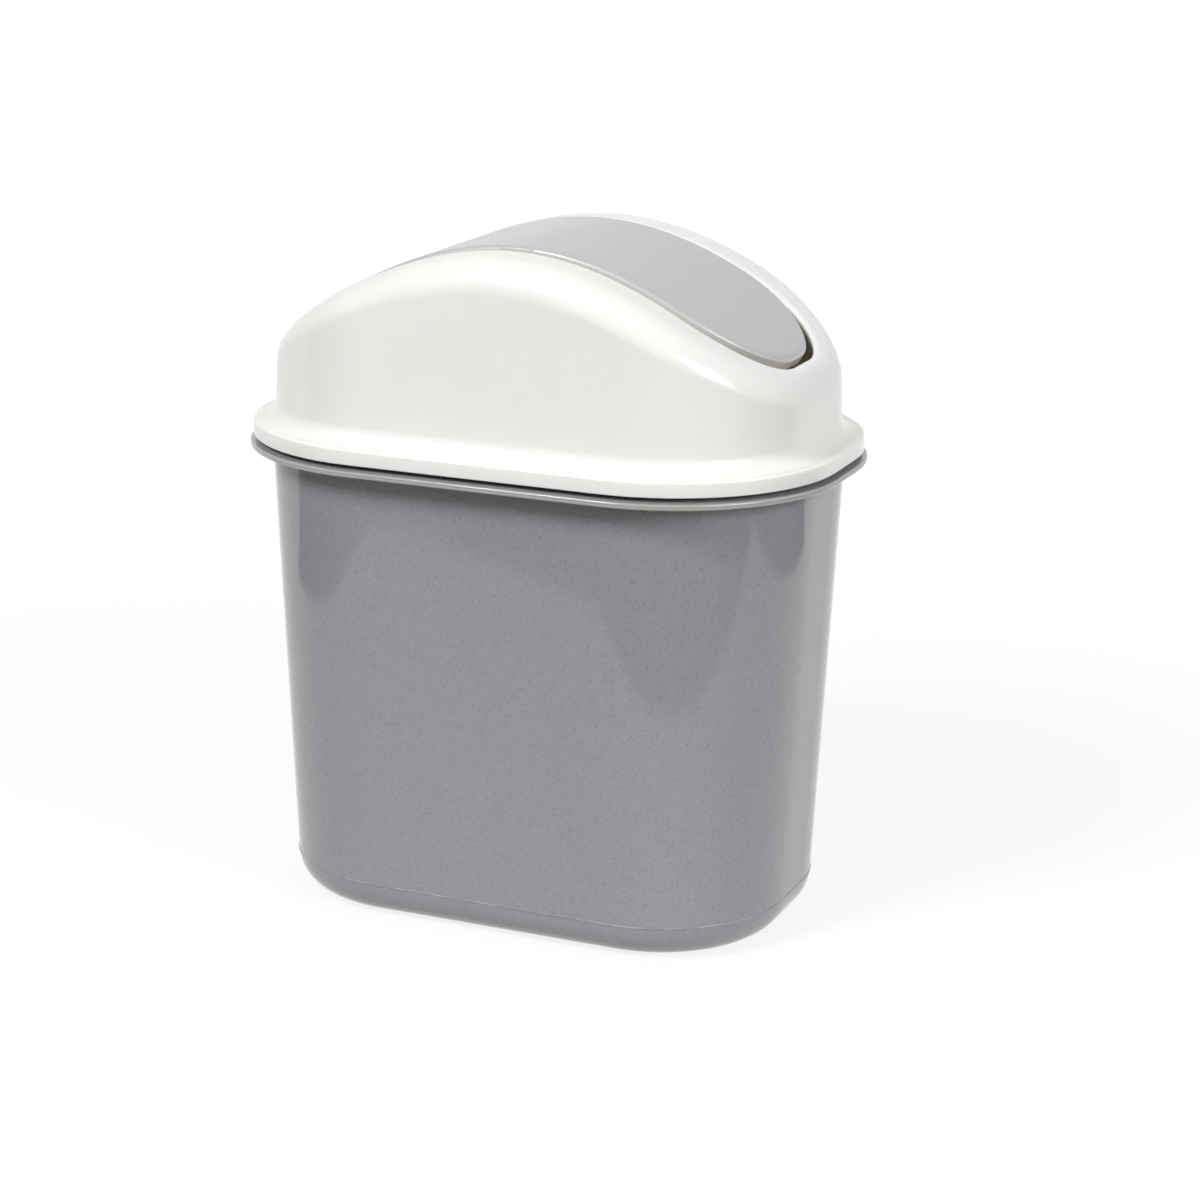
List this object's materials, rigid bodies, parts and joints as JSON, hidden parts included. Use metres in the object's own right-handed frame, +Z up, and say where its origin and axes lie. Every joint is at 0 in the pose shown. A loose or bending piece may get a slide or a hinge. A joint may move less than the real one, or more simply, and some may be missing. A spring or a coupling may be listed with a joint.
{
  "type": "countertop swing lid bin",
  "caption": "Small oblong countertop bin: a tapered tub, a lift-off arched hood and an arched flap that swings both ways in the hood's opening.",
  "frame": {"origin": "on the floor, under the middle of the bin", "axes": "+Z up, X along the bin's length, Y across it; the bin is symmetric about both vertical middle planes"},
  "size_m": [0.2222, 0.151, 0.2482],
  "materials": {
    "bin_body": "glossy moulded plastic with fine fibre specks, mid grey",
    "lid_cover": "glossy moulded plastic, warm white",
    "swing_flap": "satin moulded plastic, light grey"
  },
  "bodies": {
    "body": {"bin_body": "bin_body"},
    "lid": {"lid_cover": "lid_cover"},
    "flap": {"swing_flap": "swing_flap"}
  },
  "joints": [
    {"name": "lid_lift", "type": "slide", "parent": "body", "child": "lid", "axis": [0, 0, 1], "range_m": [0, 0.08]},
    {"name": "flap_swing", "type": "hinge", "parent": "lid", "child": "flap", "pos_m": [0, 0, 0.2399], "axis": [0, 1, 0], "range_deg": [-60, 60]}
  ]
}
